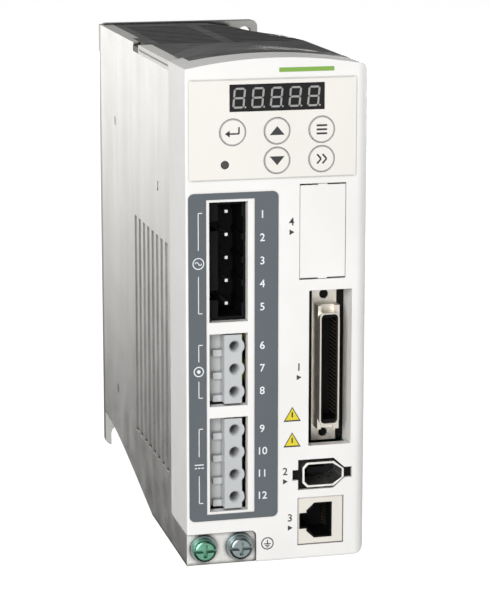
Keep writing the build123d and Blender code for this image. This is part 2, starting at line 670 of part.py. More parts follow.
def io_insert():
    """Moulded contact block: it fills the shroud but for a slot with a row of contacts on each side."""
    base_z = grown(IO_OPENING_Z, 0.5)
    base = block((IO_OPENING_X[0] + 1, CONTROL_X), (IO_FLANGE_Y[1], CONNECTOR_REAR), base_z)
    half = IO_SHROUD_HALF - 0.5 - SEAM
    core_y = (IO_RIM + 0.9, IO_FLANGE_Y[1])
    core = plate_y(grown(IO_SHROUD_X, -0.5 - SEAM), core_y, (IO_Z - half, IO_Z + half), 1.2)
    slot = block((IO_X - IO_SLOT, IO_X + IO_SLOT), (IO_RIM, IO_FLANGE_Y[0]), (IO_Z - 17, IO_Z + 17))
    return base + core - slot - io_contacts()


def io_contacts():
    """Fifty contacts in two rows, one row let into each wall of the slot."""
    y = (IO_RIM + 1.3, IO_FLANGE_Y[0])
    contacts = []
    for side in (-1, 1):
        wall = IO_X + side * IO_SLOT
        for i in range(IO_ROW):
            z = IO_Z + (i - (IO_ROW - 1) / 2) * IO_PITCH
            x = sorted((wall, wall + side * IO_CONTACT))
            contacts.append(block(x, y, (z - 0.28, z + 0.28)))
    return Compound(contacts)


def encoder_outline(y, inset):
    """The stepped outline of the encoder connector, pointed at the right, with a tab at each side."""
    x = grown(ENCODER_OPENING_X, -inset)
    z = grown(ENCODER_OPENING_Z, -inset)
    middle = sum(z) / 2
    tab = 1.75
    body = (x[0] + 1.9, x[1] - 2.6)
    point = body[1] - 3.6
    return prism_y(
        [
            (x[0], middle - tab),
            (body[0], middle - tab),
            (body[0], z[0]),
            (point, z[0]),
            (body[1], middle - tab),
            (x[1], middle - tab),
            (x[1], middle + tab),
            (body[1], middle + tab),
            (point, z[1]),
            (body[0], z[1]),
            (body[0], middle + tab),
            (x[0], middle + tab),
        ],
        y,
    )


def hexagon_outline(y, x, z, bevel, point):
    """A six-sided ring outline: bevelled at the left, pointed at the right."""
    middle = sum(z) / 2
    blunt = 1.4
    return prism_y(
        [
            (x[0], z[0] + bevel),
            (x[0] + bevel, z[0]),
            (x[1] - point, z[0]),
            (x[1], middle - blunt),
            (x[1], middle + blunt),
            (x[1] - point, z[1]),
            (x[0] + bevel, z[1]),
            (x[0], z[1] - bevel),
        ],
        y,
    )


def encoder_shell():
    """The chromed shroud of the encoder connector."""
    ring = hexagon_outline(ENCODER_RING_Y, ENCODER_RING_X, ENCODER_RING_Z, 1.6, 3.4)
    inner = (grown(ENCODER_RING_X, -0.7), grown(ENCODER_RING_Z, -0.7))
    return ring - hexagon_outline(grown(ENCODER_RING_Y, 1), *inner, 1.3, 3.1)


def encoder_housing():
    """Black moulded body round the shroud, with the contact tongue inside."""
    y = (FRONT + 1.2, FRONT + 12)
    body = encoder_outline(y, SEAM)
    body -= hexagon_outline((FRONT, ENCODER_RING_Y[1]), ENCODER_RING_X, ENCODER_RING_Z, 1.6, 3.4)
    tongue_x = (ENCODER_RING_X[0] + 3, ENCODER_RING_X[1] - 5)
    middle = sum(ENCODER_RING_Z) / 2
    tongue = block(tongue_x, (FRONT + 5, ENCODER_RING_Y[1] + 1), (middle - 1, middle + 1))
    rear = block((ENCODER_RING_X[0], CONTROL_X), (y[1], CONNECTOR_REAR), ENCODER_RING_Z)
    return body + tongue + rear


def bus_cavity(y, inset):
    """The stepped cavity of a modular jack, latch notch to the left, its walls moved in by an inset."""
    left = BUS_OPENING_X[0] + GAP + inset
    right = BUS_OPENING_X[0] + GAP + 12.1 - inset
    middle = sum(BUS_OPENING_Z) / 2
    half = 6.5 - inset
    step = left + 2.4
    taper = step + 2.6
    latch = 3.2 - inset
    shoulder = 4.0 - inset
    return prism_y(
        [
            (left, middle - latch),
            (step, middle - latch),
            (step, middle - shoulder),
            (taper, middle - half),
            (right, middle - half),
            (right, middle + half),
            (taper, middle + half),
            (step, middle + shoulder),
            (step, middle + latch),
            (left, middle + latch),
        ],
        y,
    )


def bus_jack():
    """The ivory body of the eight-way modular jack."""
    x = grown(BUS_OPENING_X, -GAP)
    z = grown(BUS_OPENING_Z, -GAP)
    jack = block(x, (FRONT + 0.5, CONNECTOR_REAR), z)
    jack += block((x[0], CONTROL_X), (FACE_BACK + 1, CONNECTOR_REAR), z)
    return jack - bus_cavity((FRONT - 1, FRONT + 13), BUS_WALL) - bus_contacts()


def bus_liner():
    """The black contact carrier that lines the jack's cavity."""
    outer = bus_cavity((FRONT + 0.8, FRONT + 13), BUS_WALL)
    inner = bus_cavity((FRONT - 1, FRONT + 12.4), 2 * BUS_WALL)
    return outer - inner - bus_contacts()


def bus_contacts():
    """Eight sprung wires along the right wall of the jack, each with a foot in the moulding."""
    x = BUS_OPENING_X[0] + GAP + 11.6
    middle = sum(BUS_OPENING_Z) / 2
    contacts = []
    for i in range(8):
        z = middle + (i - 3.5) * 1.02
        outline = [(x - 1.3, FRONT + 9), (x + 0.4, FRONT + 3), (x + 0.4, FRONT + 14.5), (x, FRONT + 14.5)]
        outline += [(x, FRONT + 4.5), (x - 1.0, FRONT + 9)]
        contacts.append(prism_z(outline, (z - 0.23, z + 0.23)))
    return Compound(contacts)


def earth_screw(side):
    """A pan-head machine screw with a cross and a slot."""
    seat = FRONT + FOOT_SETBACK - WASHER
    x = EARTH_X[side]
    head = rod_y(EARTH_HEAD_R, x, (seat - EARTH_HEAD, seat), EARTH_Z)
    head = fillet(head.edges().sort_by(Axis.Y)[0], 1.2)
    shank = rod_y(EARTH_R, x, (seat, seat + WASHER + EARTH_LENGTH), EARTH_Z)
    recess_y = (seat - EARTH_HEAD - 1, seat - EARTH_HEAD + 1.3)
    slot = block(grown((x, x), EARTH_HEAD_R + 1), recess_y, grown((EARTH_Z, EARTH_Z), 0.5))
    cross = block(grown((x, x), 0.6), recess_y, grown((EARTH_Z, EARTH_Z), 2.2))
    return head + shank - slot - cross


def earth_washer(side):
    """The captive washer under a screw head."""
    x = EARTH_X[side]
    y = (FRONT + FOOT_SETBACK - WASHER, FRONT + FOOT_SETBACK)
    return rod_y(WASHER_R, x, y, EARTH_Z) - rod_y(EARTH_R + 0.08, x, grown(y, 1), EARTH_Z)


def board_posts():
    """Spacers between the cast wall and the power board."""
    posts = []
    for z in (SIDE_SCREW_LOW, SIDE_SCREW_HIGH):
        posts.append(rod_x(3, (LEFT + CAST_WALL, POWER_X), SIDE_SCREW_Y, z) - side_screw(z))
    return Compound(posts)


def board_screws():
    screws = []
    for z in (SIDE_SCREW_LOW, SIDE_SCREW_HIGH):
        head = rod_x(2.6, (PART_SIDE, PART_SIDE + 1.8), SIDE_SCREW_Y, z)
        screws.append(head + rod_x(1.4, (POWER_X, PART_SIDE), SIDE_SCREW_Y, z))
    return Compound(screws)


def power_board():
    board = block((POWER_X, PART_SIDE), (BOARD_FRONT, BOARD_REAR), (BOARD_LOW, BOARD_HIGH))
    board -= board_screws()
    for name in POLES:
        board -= header_pins(name)
    return board - power_module()


def control_board():
    return block((CONTROL_X, CONTROL_X + BOARD), (BOARD_FRONT, BOARD_REAR), (BOARD_LOW, BOARD_HIGH))


def thermal_pad():
    x = (LEFT + CAST_WALL, LEFT + CAST_WALL + PAD)
    return block(x, grown(MODULE_Y, 1), grown(MODULE_Z, 1))


def power_module():
    """Inverter module on the cast wall, its two rows of legs soldered into the power board."""
    start = LEFT + CAST_WALL + PAD
    module = block((start, start + 6), MODULE_Y, MODULE_Z)
    for z in (MODULE_Z[0] + 2, MODULE_Z[1] - 2):
        for i in range(8):
            y = MODULE_Y[0] + 3 + i * 4.5
            module += block((start + 5, PART_SIDE + 1), (y, y + 0.8), (z, z + 0.8))
    return module


def rectifier_bridge():
    start = LEFT + CAST_WALL
    body = block((start, start + 5), (SEAM_Y + 26, SEAM_Y + 51), (28, 46))
    for i in range(4):
        y = SEAM_Y + 28 + i * 6.5
        body += block((start + 4, POWER_X), (y, y + 1), (36, 37))
    return body


def bulk_capacitors():
    x = (PART_SIDE, CONTROL_X - 5)
    y = MODULE_Y[1] + CAPACITOR_R + 1
    return Compound([rod_x(CAPACITOR_R, x, y, z) for z in (62, 88)])


def interference_choke():
    """A toroid lying on the power board."""
    ring = rod_x(11, (PART_SIDE, PART_SIDE + 9), SEAM_Y + 14, 104)
    return ring - rod_x(4.5, (PART_SIDE - 1, PART_SIDE + 10), SEAM_Y + 14, 104)


def film_capacitors():
    y = (SEAM_Y + 3, SEAM_Y + 24)
    return Compound([block((PART_SIDE, PART_SIDE + 13), y, (z, z + 8)) for z in (68, 79)])


def supply_transformer():
    y = (SEAM_Y + 30, SEAM_Y + 50)
    core = block((PART_SIDE, PART_SIDE + 18), y, (112, 118)) + block((PART_SIDE, PART_SIDE + 18), y, (130, 136))
    return core + block((PART_SIDE + 2, PART_SIDE + 16), grown(y, 2), (118, 130))


def inrush_relay():
    return block((PART_SIDE, PART_SIDE + 15), (SEAM_Y + 4, SEAM_Y + 22), (120, 136))


def mains_fuse():
    return rod_x(4, (PART_SIDE, PART_SIDE + 9), SEAM_Y + 8, 57)


def filter_capacitors():
    return Compound([rod_x(4, (PART_SIDE, PART_SIDE + 12), SEAM_Y + 34 + 10 * i, 100) for i in range(2)])


def board_link():
    """The stacking connector between the two boards."""
    return block((PART_SIDE, CONTROL_X), (BACK - 36, BACK - 31), (102, 126))


def control_chips():
    """The processor and its neighbours on the control board."""
    places = [(SEAM_Y + 30, 100, 14), (SEAM_Y + 56, 106, 10), (SEAM_Y + 32, 72, 10), (SEAM_Y + 54, 40, 8)]
    x = (CONTROL_X - 1.6, CONTROL_X)
    return Compound([block(x, (y, y + size), (z, z + size)) for y, z, size in places])


def save(name, shape):
    """Write one node, with the origin moved to the middle of the rear face."""
    solids = shape.solids()
    body = solids[0] if len(solids) == 1 else Compound(solids)
    export_step(Pos(0, 0, -ORIGIN_Z) * body, f"parts/{name}.step")


def main():
    os.makedirs("parts", exist_ok=True)
    pieces = {
        "heatsink_chassis": heatsink_chassis(),
        "housing_shell": housing_shell(),
        "front_cover": front_cover(),
        "top_grille": top_grille(),
        "rail_clip": rail_clip(),
        "side_screws": side_screws(),
        "keypad_film": keypad_film(),
        "terminal_film": terminal_film(),
        "display_lens": display_lens(),
        "display_module": display_module(),
        "display_board": display_board(),
        "display_screws": display_screws(),
        "display_ribbon": display_ribbon(),
        "tact_switches": tact_switches(),
        "status_light": status_light(),
        "mains_header": mains_header(),
        "mains_pins": header_pins("mains"),
        "blank_cover": blank_cover(),
        "spare_port": spare_port(),
        "io_shell": io_shell(),
        "io_insert": io_insert(),
        "io_contacts": io_contacts(),
        "encoder_shell": encoder_shell(),
        "encoder_housing": encoder_housing(),
        "bus_jack": bus_jack(),
        "bus_liner": bus_liner(),
        "bus_contacts": bus_contacts(),
        "board_posts": board_posts(),
        "board_screws": board_screws(),
        "power_board": power_board(),
        "control_board": control_board(),
        "thermal_pad": thermal_pad(),
        "power_module": power_module(),
        "rectifier_bridge": rectifier_bridge(),
        "bulk_capacitors": bulk_capacitors(),
        "interference_choke": interference_choke(),
        "film_capacitors": film_capacitors(),
        "supply_transformer": supply_transformer(),
        "inrush_relay": inrush_relay(),
        "mains_fuse": mains_fuse(),
        "filter_capacitors": filter_capacitors(),
        "board_link": board_link(),
        "control_chips": control_chips(),
    }
    for name, (x, drop) in KEYS.items():
        pieces[name] = key(x, drop)
    for name in ("motor", "brake"):
        pieces[f"{name}_header"] = plug_header(name)
        pieces[f"{name}_pins"] = header_pins(name)
        pieces[f"{name}_plug"] = terminal_plug(name)
        pieces[f"{name}_clamps"] = plug_clamps(name)
    for side in EARTH_X:
        pieces[f"earth_screw_{side}"] = earth_screw(side)
        pieces[f"earth_washer_{side}"] = earth_washer(side)
    for name, shape in pieces.items():
        save(name, shape)


main()
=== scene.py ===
"""Looks of the servo drive: materials, printed marks, display digits, studio and camera."""

import json
import math

import bmesh
import bpy
from mathutils import Matrix, Vector


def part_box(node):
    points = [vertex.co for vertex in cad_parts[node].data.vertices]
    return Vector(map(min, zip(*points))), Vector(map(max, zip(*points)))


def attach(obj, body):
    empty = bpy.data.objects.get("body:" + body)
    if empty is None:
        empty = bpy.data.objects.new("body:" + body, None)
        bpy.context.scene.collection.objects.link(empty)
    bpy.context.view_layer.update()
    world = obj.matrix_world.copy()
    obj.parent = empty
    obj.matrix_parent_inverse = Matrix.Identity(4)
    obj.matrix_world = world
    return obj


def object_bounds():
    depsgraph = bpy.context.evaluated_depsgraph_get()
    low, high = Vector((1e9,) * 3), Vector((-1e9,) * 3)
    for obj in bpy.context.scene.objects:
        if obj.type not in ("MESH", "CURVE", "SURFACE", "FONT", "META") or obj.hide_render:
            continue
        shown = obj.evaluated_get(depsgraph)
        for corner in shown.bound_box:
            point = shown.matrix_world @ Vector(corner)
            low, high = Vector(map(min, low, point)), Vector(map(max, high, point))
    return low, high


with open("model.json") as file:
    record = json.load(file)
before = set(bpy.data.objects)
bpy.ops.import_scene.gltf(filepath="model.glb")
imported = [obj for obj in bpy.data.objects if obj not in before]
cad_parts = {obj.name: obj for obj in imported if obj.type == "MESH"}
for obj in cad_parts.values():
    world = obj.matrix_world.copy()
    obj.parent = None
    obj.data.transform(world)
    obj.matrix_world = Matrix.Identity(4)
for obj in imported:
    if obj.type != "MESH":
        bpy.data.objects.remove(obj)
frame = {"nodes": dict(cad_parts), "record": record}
NODES = frame["nodes"]
cad_low, cad_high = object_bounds()

MM = 0.001
PRINT = 0.03 * MM  # thickness of printed ink
cover_low, cover_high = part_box("front_cover")
BASE_Z = cover_low.z
FRONT_Y = cover_low.y
PLATE_FRONT = -3.0 * MM  # front face of the rear plate, whose rear face is y = 0
KEYS = ("key_enter", "key_up", "key_down", "key_mode", "key_shift")


# ---------------------------------------------------------------- camera

CAMERA_AT = Vector((-182.0, -849.1, 164.4)) * MM
CAMERA_YAW = 0.240
CAMERA_PITCH = 0.2155
LONG_SIDE_PX = 600
FOCAL_PX = 2310.0
SENSOR = 36.0


def make_camera():
    data = bpy.data.cameras.new("camera")
    data.sensor_width = SENSOR
    data.lens = FOCAL_PX * SENSOR / LONG_SIDE_PX
    data.clip_start = 0.01
    data.clip_end = 20
    camera = bpy.data.objects.new("camera", data)
    camera.location = CAMERA_AT
    camera.rotation_euler = (math.pi / 2 - CAMERA_PITCH, 0, -CAMERA_YAW)
    bpy.context.scene.collection.objects.link(camera)
    bpy.context.scene.camera = camera


# ---------------------------------------------------------------- materials

def new_material(name):
    made = bpy.data.materials.new(name)
    made.use_nodes = True
    tree = made.node_tree
    shader = tree.nodes["Principled BSDF"]
    return made, tree, shader


def noise(tree, scale, detail=4.0, roughness=0.55):
    """Fractal noise in the object's own metres."""
    place = tree.nodes.new("ShaderNodeTexCoord")
    texture = tree.nodes.new("ShaderNodeTexNoise")
    texture.inputs["Scale"].default_value = scale
    texture.inputs["Detail"].default_value = detail
    texture.inputs["Roughness"].default_value = roughness
    tree.links.new(place.outputs["Object"], texture.inputs["Vector"])
    return texture.outputs["Fac"]


def remap(tree, value, low, high, to_low, to_high):
    spread = tree.nodes.new("ShaderNodeMapRange")
    spread.inputs["From Min"].default_value = low
    spread.inputs["From Max"].default_value = high
    spread.inputs["To Min"].default_value = to_low
    spread.inputs["To Max"].default_value = to_high
    tree.links.new(value, spread.inputs["Value"])
    return spread.outputs["Result"]


def calculate(tree, operation, first, second):
    sum_node = tree.nodes.new("ShaderNodeMath")
    sum_node.operation = operation
    tree.links.new(first, sum_node.inputs[0])
    tree.links.new(second, sum_node.inputs[1])
    return sum_node.outputs["Value"]


def blend_colours(tree, factor, first, second):
    mix = tree.nodes.new("ShaderNodeMix")
    mix.data_type = "RGBA"
    tree.links.new(factor, mix.inputs[0])
    mix.inputs[6].default_value = (*first, 1)
    if isinstance(second, tuple):
        mix.inputs[7].default_value = (*second, 1)
    else:
        tree.links.new(second, mix.inputs[7])
    return mix.outputs[2]


def round_edges(tree, radius):
    """A normal that rounds sharp edges by this radius."""
    bevel = tree.nodes.new("ShaderNodeBevel")
    bevel.samples = 4
    bevel.inputs["Radius"].default_value = radius
    return bevel.outputs["Normal"]


def edge_mask(tree, radius):
    """1 on flat faces, lower along sharp edges."""
    geometry = tree.nodes.new("ShaderNodeNewGeometry")
    compare = tree.nodes.new("ShaderNodeVectorMath")
    compare.operation = "DOT_PRODUCT"
    tree.links.new(round_edges(tree, radius), compare.inputs[0])
    tree.links.new(geometry.outputs["Normal"], compare.inputs[1])
    return compare.outputs["Value"]


def crevices(tree, colour, depth, darkest=0.35, span=(0.25, 0.95)):
    """The colour with painted shade: darker where surfaces meet within this depth. Openness over the span
    gives darkest to 1.
    """
    occlusion = tree.nodes.new("ShaderNodeAmbientOcclusion")
    occlusion.samples = 6
    occlusion.inputs["Distance"].default_value = depth
    shade = remap(tree, occlusion.outputs["AO"], *span, darkest, 1.0)
    mix = tree.nodes.new("ShaderNodeMix")
    mix.data_type = "RGBA"
    mix.blend_type = "MULTIPLY"
    mix.inputs[0].default_value = 1.0
    tree.links.new(colour, mix.inputs[6])
    tree.links.new(shade, mix.inputs[7])
    return mix.outputs[2]


def add_bump(tree, shader, height, distance, strength=1.0, edge=0.15 * MM):
    bump = tree.nodes.new("ShaderNodeBump")
    bump.inputs["Distance"].default_value = distance
    bump.inputs["Strength"].default_value = strength
    tree.links.new(height, bump.inputs["Height"])
    tree.links.new(round_edges(tree, edge), bump.inputs["Normal"])
    tree.links.new(bump.outputs["Normal"], shader.inputs["Normal"])


def tone(colour, amount):
    return tuple(min(1.0, max(0.0, c * (1 + amount))) for c in colour)


def stretch_pattern(tree, pattern, scale):
    """Scale the coordinates that a pattern reads. Returns the object's unscaled coordinates."""
    mapping = tree.nodes.new("ShaderNodeMapping")
    mapping.inputs["Scale"].default_value = scale
    place = tree.nodes.new("ShaderNodeTexCoord")
    tree.links.new(place.outputs["Object"], mapping.inputs["Vector"])
    tree.links.new(mapping.outputs["Vector"], pattern.node.inputs["Vector"])
    return place.outputs["Object"]


def moulded(name, colour, rough=0.45, grain=2600.0, depth=0.012 * MM, variation=0.03, edge=0.2 * MM, coat=0.0,
            gloss=0.5):
    """Moulded plastic: fine texture, faint clouding, painted shade where surfaces meet, softened edges."""
    made, tree, shader = new_material(name)
    clouds = remap(tree, noise(tree, 45.0, 3.0), 0.3, 0.7, 0.0, 1.0)
    tint = blend_colours(tree, clouds, tone(colour, -variation), tone(colour, variation))
    # painted shade: the tint is darkened where surfaces meet within 0.9 mm
    tree.links.new(crevices(tree, tint, 0.9 * MM), shader.inputs["Base Color"])
    patchy = remap(tree, noise(tree, 160.0), 0.3, 0.7, rough - 0.05, rough + 0.06)
    tree.links.new(patchy, shader.inputs["Roughness"])
    shader.inputs["Specular IOR Level"].default_value = gloss
    shader.inputs["Coat Weight"].default_value = coat
    shader.inputs["Coat Roughness"].default_value = 0.2
    add_bump(tree, shader, noise(tree, grain, 2.0), depth, edge=edge)
    return made


def cast_metal(name):
    """Blasted die casting: speckles, upright streaks, flow clouds, edges lighter as wear and painted
    highlight, a rear plate darkened as a duller sheet and painted shade, and painted shade where surfaces
    meet.
    """
    made, tree, shader = new_material(name)
    shader.inputs["Metallic"].default_value = 0.95
    speck = remap(tree, noise(tree, 1300.0, 6.0, 0.75), 0.32, 0.68, 0.0, 1.0)
    skin = blend_colours(tree, speck, (0.74, 0.735, 0.72), (0.92, 0.915, 0.90))
    streaks = noise(tree, 90.0, 3.0)
    position = stretch_pattern(tree, streaks, (1, 1, 0.10))
    streaked = remap(tree, streaks, 0.35, 0.65, 0.55, 1.0)
    skin = blend_colours(tree, streaked, (0.62, 0.61, 0.585), skin)
    clouds = remap(tree, noise(tree, 28.0, 4.0), 0.35, 0.65, 0.70, 1.0)
    skin = blend_colours(tree, clouds, (0.66, 0.65, 0.625), skin)
    # lighter along sharp edges: partly edge wear, partly a painted highlight
    flat = remap(tree, edge_mask(tree, 0.35 * MM), 0.80, 0.985, 0.0, 1.0)
    wear_and_edge_highlight = blend_colours(tree, flat, (0.90, 0.89, 0.87), skin)
    # the rear plate is much darker: partly a duller sheet, partly painted shade for the shadow it sits in
    # under and behind the body
    split = tree.nodes.new("ShaderNodeSeparateXYZ")
    tree.links.new(position, split.inputs["Vector"])
    plate = (PLATE_FRONT - 1.0 * MM, PLATE_FRONT + 0.5 * MM)
    casting = remap(tree, split.outputs["Y"], *plate, 1.0, 0.12)
    plate_dark_sheet_and_shade = blend_colours(tree, casting, (0.22, 0.225, 0.215), wear_and_edge_highlight)
    # painted shade: the colour is much darker where surfaces meet within 1.6 mm, down to black in the most
    # closed corners
    tree.links.new(crevices(tree, plate_dark_sheet_and_shade, 1.6 * MM, 0.0, (0.50, 0.95)), shader.inputs["Base Color"])
    patchy = remap(tree, noise(tree, 90.0), 0.3, 0.7, 0.29, 0.37)
    tree.links.new(patchy, shader.inputs["Roughness"])
    add_bump(tree, shader, noise(tree, 1700.0, 6.0, 0.7), 0.07 * MM, edge=0.3 * MM)
    return made


def metal(name, colour, rough, grain=900.0, depth=0.004 * MM, tarnish=0.06, stretch=None):
    """Plated or bare metal with fine marks and slight tarnish."""
    made, tree, shader = new_material(name)
    shader.inputs["Metallic"].default_value = 1.0
    clouds = remap(tree, noise(tree, 300.0, 5.0), 0.3, 0.7, 0.0, 1.0)
    tint = blend_colours(tree, clouds, tone(colour, -tarnish), tone(colour, tarnish))
    tree.links.new(tint, shader.inputs["Base Color"])
    patchy = remap(tree, noise(tree, 500.0), 0.3, 0.7, rough - 0.05, rough + 0.08)
    tree.links.new(patchy, shader.inputs["Roughness"])
    marks = noise(tree, grain, 3.0)
    if stretch:
        stretch_pattern(tree, marks, stretch)
    add_bump(tree, shader, marks, depth, edge=0.12 * MM)
    return made


def circuit_board(name):
    """Solder mask with a faint weave and traces under it."""
    made, tree, shader = new_material(name)
    place = tree.nodes.new("ShaderNodeTexCoord")
    traces = tree.nodes.new("ShaderNodeTexBrick")
    traces.inputs["Scale"].default_value = 160.0
    traces.inputs["Mortar Size"].default_value = 0.03
    traces.inputs["Color1"].default_value = (0.008, 0.05, 0.022, 1)
    traces.inputs["Color2"].default_value = (0.010, 0.06, 0.028, 1)
    traces.inputs["Mortar"].default_value = (0.018, 0.10, 0.045, 1)
    tree.links.new(place.outputs["Object"], traces.inputs["Vector"])
    tree.links.new(traces.outputs["Color"], shader.inputs["Base Color"])
    shader.inputs["Roughness"].default_value = 0.35
    add_bump(tree, shader, noise(tree, 2500.0, 2.0), 0.01 * MM)
    return made


def ink(name, colour, rough=0.5):
    """Printed ink: a slightly uneven film of colour."""
    return moulded(name, colour, rough, grain=4000.0, depth=0.004 * MM, variation=0.04, edge=0.02 * MM)


MATERIALS = {
    "cast_aluminium": cast_metal("cast_aluminium"),
    "shell_plastic": moulded("shell_plastic", (0.80, 0.79, 0.76), 0.5),
    "cover_plastic": moulded("cover_plastic", (0.83, 0.825, 0.81), 0.42),
    "vent_plastic": moulded("vent_plastic", (0.030, 0.029, 0.031), 0.42, variation=0.15, gloss=0.45),
    "key_film": moulded("key_film", (0.80, 0.78, 0.735), 0.5, depth=0.006 * MM, variation=0.015),
    "slate_film": moulded("slate_film", (0.098, 0.116, 0.130), 0.42, depth=0.006 * MM, variation=0.04),
    "lens_plastic": moulded("lens_plastic", (0.006, 0.006, 0.007), 0.18, depth=0.001 * MM, variation=0.2,
                            gloss=0.25),
    "black_plastic": moulded("black_plastic", (0.004, 0.004, 0.0043), 0.5, variation=0.2, gloss=0.12),
    "grey_plastic": moulded("grey_plastic", (0.50, 0.515, 0.52), 0.42, variation=0.05, edge=0.3 * MM),
    "ivory_plastic": moulded("ivory_plastic", (0.74, 0.71, 0.645), 0.4, edge=0.3 * MM),
    "light_pipe": moulded("light_pipe", (0.03, 0.022, 0.022), 0.15, coat=0.5),
    "tinned_metal": metal("tinned_metal", (0.80, 0.80, 0.79), 0.28),
    "nickel_steel": metal("nickel_steel", (0.88, 0.87, 0.84), 0.30),
    "zinc_sheet": metal("zinc_sheet", (0.80, 0.76, 0.69), 0.46, stretch=(1, 1, 0.05)),
    "gold_contact": metal("gold_contact", (0.52, 0.44, 0.30), 0.38),
    "zinc_screw": metal("zinc_screw", (0.29, 0.345, 0.35), 0.34),
    "green_screw": metal("green_screw", (0.17, 0.40, 0.28), 0.34, tarnish=0.2),
    "board_laminate": circuit_board("board_laminate"),
    "thermal_rubber": moulded("thermal_rubber", (0.30, 0.31, 0.35), 0.7),
    "capacitor_sleeve": moulded("capacitor_sleeve", (0.02, 0.025, 0.07), 0.3, coat=0.3),
    "component_plastic": moulded("component_plastic", (0.60, 0.38, 0.05), 0.35, coat=0.3),
    "ferrite": moulded("ferrite", (0.03, 0.028, 0.028), 0.55),
}
WHITE_INK = ink("white_ink", (0.80, 0.82, 0.84))
DARK_INK = ink("dark_ink", (0.035, 0.035, 0.04))
RING_INK = ink("ring_ink", (0.36, 0.36, 0.36))
FILM_LINE = ink("film_line", (0.58, 0.57, 0.55))
GREEN_INK = ink("green_ink", (0.21, 0.40, 0.065))
YELLOW_INK = ink("yellow_ink", (0.74, 0.62, 0.02))
SEGMENT = ink("segment", (0.33, 0.33, 0.32), 0.35)


def paint_cad_nodes():
    for part in frame["record"]["subparts"]:
        mesh = NODES[part["node"]].data
        mesh.materials.clear()
        mesh.materials.append(MATERIALS[part["material_slot"]])


# ---------------------------------------------------------------- mesh helpers

def finish_piece(name, mesh, material, body):
    mesh.materials.append(material)
    piece = bpy.data.objects.new(name, mesh)
    bpy.context.scene.collection.objects.link(piece)
    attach(piece, body)


def printed(name, outlines, y, material, body="chassis"):
    """Thin printed shapes on a face that looks to the front. Each outline is a list of (x, z)."""
    work = bmesh.new()
    for outline in outlines:
        front = [work.verts.new((x, y - PRINT, z)) for x, z in outline]
        rear = [work.verts.new((x, y, z)) for x, z in outline]
        work.faces.new(front)
        work.faces.new(rear[::-1])
        for i in range(len(outline)):
            j = (i + 1) % len(outline)
            work.faces.new((front[j], front[i], rear[i], rear[j]))
    bmesh.ops.recalc_face_normals(work, faces=work.faces)
    mesh = bpy.data.meshes.new(name)
    work.to_mesh(mesh)
    work.free()
    finish_piece(name, mesh, material, body)


def bar(x0, x1, z0, z1):
    return [(x0, z0), (x1, z0), (x1, z1), (x0, z1)]


def ring_outlines(x, z, outer, inner, steps=48):
    """An annulus as four-sided pieces."""
    pieces = []
    for i in range(steps):
        a = math.tau * i / steps
        b = math.tau * (i + 1) / steps
        pieces.append([
            (x + inner * math.cos(a), z + inner * math.sin(a)),
            (x + outer * math.cos(a), z + outer * math.sin(a)),
            (x + outer * math.cos(b), z + outer * math.sin(b)),
            (x + inner * math.cos(b), z + inner * math.sin(b)),
        ])
    return pieces


def stroke(points, width):
    """A line of even width through points, as one four-sided piece for each run."""
    pieces = []
    for (x0, z0), (x1, z1) in zip(points, points[1:]):
        length = math.hypot(x1 - x0, z1 - z0)
        nx, nz = -(z1 - z0) / length * width / 2, (x1 - x0) / length * width / 2
        pieces.append([(x0 + nx, z0 + nz), (x0 - nx, z0 - nz), (x1 - nx, z1 - nz), (x1 + nx, z1 + nz)])
    return pieces


def lettering(name, entries, y, material):
    """Plain numbers on the chassis. Each entry is (text, x, z, height), centred there."""
    parts = []
    for text, x, z, height in entries:
        curve = bpy.data.curves.new(name, "FONT")
        curve.body = text
        curve.size = height * 1.4
        curve.align_x = "CENTER"
        curve.align_y = "CENTER"
        curve.extrude = PRINT / 2
        curve.offset = height * 0.018
        holder = bpy.data.objects.new(name, curve)
        bpy.context.scene.collection.objects.link(holder)
        bpy.context.view_layer.update()
        evaluated = holder.evaluated_get(bpy.context.evaluated_depsgraph_get())
        mesh = bpy.data.meshes.new_from_object(evaluated)
        bpy.data.objects.remove(holder)
        turn = Matrix.Translation((x, y - PRINT / 2, z)) @ Matrix.Rotation(math.pi / 2, 4, "X")
        mesh.transform(turn)
        parts.append(mesh)
    work = bmesh.new()
    for mesh in parts:
        work.from_mesh(mesh)
    bmesh.ops.remove_doubles(work, verts=work.verts, dist=1e-7)
    joined = bpy.data.meshes.new(name)
    work.to_mesh(joined)
    work.free()
    joined.materials.clear()
    finish_piece(name, joined, material, "chassis")


# ---------------------------------------------------------------- display and keypad

DIGITS = 5
DIGIT_PITCH = 6.05 * MM
DIGIT_HEIGHT = 6.5 * MM
DIGIT_WIDTH = 3.9 * MM
DIGIT_LEAN = 0.09
SEGMENT_WIDTH = 0.62 * MM


